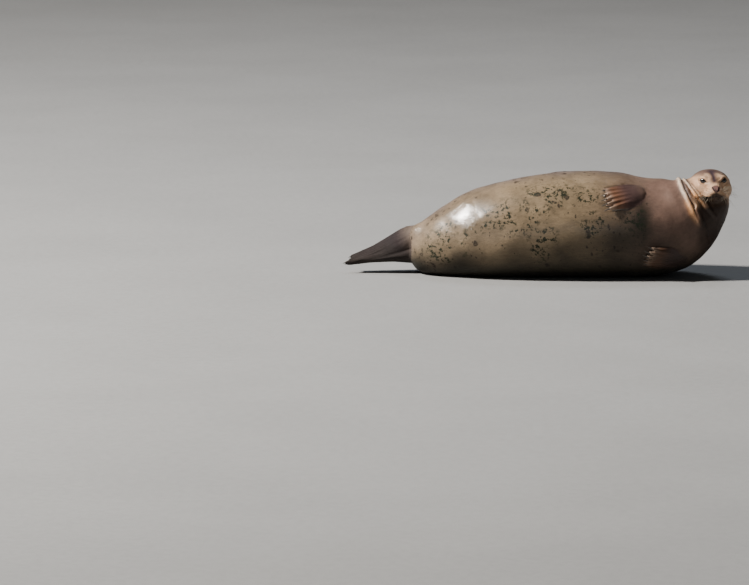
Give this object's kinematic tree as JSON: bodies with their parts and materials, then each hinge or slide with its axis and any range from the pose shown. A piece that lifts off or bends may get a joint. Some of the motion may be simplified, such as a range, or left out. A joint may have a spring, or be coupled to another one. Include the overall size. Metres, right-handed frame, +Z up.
{
  "type": "harbor seal museum model",
  "caption": "Life-size harbor seal resting on its left side, belly to the front, head raised and turned, right foreflipper laid along the flank and hind flippers folded together.",
  "frame": {"origin": "middle of the bounding box's bottom face, on the floor under the trunk", "axes": "+X from the hind flippers to the head, +Y from the belly to the back, +Z up from the floor; the seal lies on its left side, so its right side is up"},
  "size_m": [1.5502, 0.4502, 0.4313],
  "materials": {
    "coat_silver": "short flat wet fur, silver-tan with sparse dark flecks",
    "coat_pale": "short flat fur, pale cream-tan face",
    "flipper_brown": "short dense fur over webbed digits, rusty to grey brown",
    "claw_horn": "dark horn",
    "eye_black": "wet, glossy, near black"
  },
  "bodies": {
    "root": {"head": "coat_pale", "neck": "coat_silver", "chest": "coat_silver", "belly": "coat_silver", "hips": "coat_silver", "tail": "flipper_brown", "foreflipper_right": "flipper_brown", "foreflipper_left": "flipper_brown", "hindflipper_right": "flipper_brown", "hindflipper_left": "flipper_brown", "eye_right": "eye_black", "eye_left": "eye_black", "claw_foreflipper_right_1": "claw_horn", "claw_foreflipper_right_2": "claw_horn", "claw_foreflipper_right_3": "claw_horn", "claw_foreflipper_right_4": "claw_horn", "claw_foreflipper_right_5": "claw_horn", "claw_foreflipper_left_1": "claw_horn", "claw_foreflipper_left_2": "claw_horn", "claw_foreflipper_left_3": "claw_horn", "claw_foreflipper_left_4": "claw_horn", "claw_foreflipper_left_5": "claw_horn", "claw_hindflipper_right_1": "claw_horn", "claw_hindflipper_right_2": "claw_horn", "claw_hindflipper_right_3": "claw_horn", "claw_hindflipper_right_4": "claw_horn", "claw_hindflipper_right_5": "claw_horn", "claw_hindflipper_left_1": "claw_horn", "claw_hindflipper_left_2": "claw_horn", "claw_hindflipper_left_3": "claw_horn", "claw_hindflipper_left_4": "claw_horn", "claw_hindflipper_left_5": "claw_horn"}
  },
  "joints": []
}
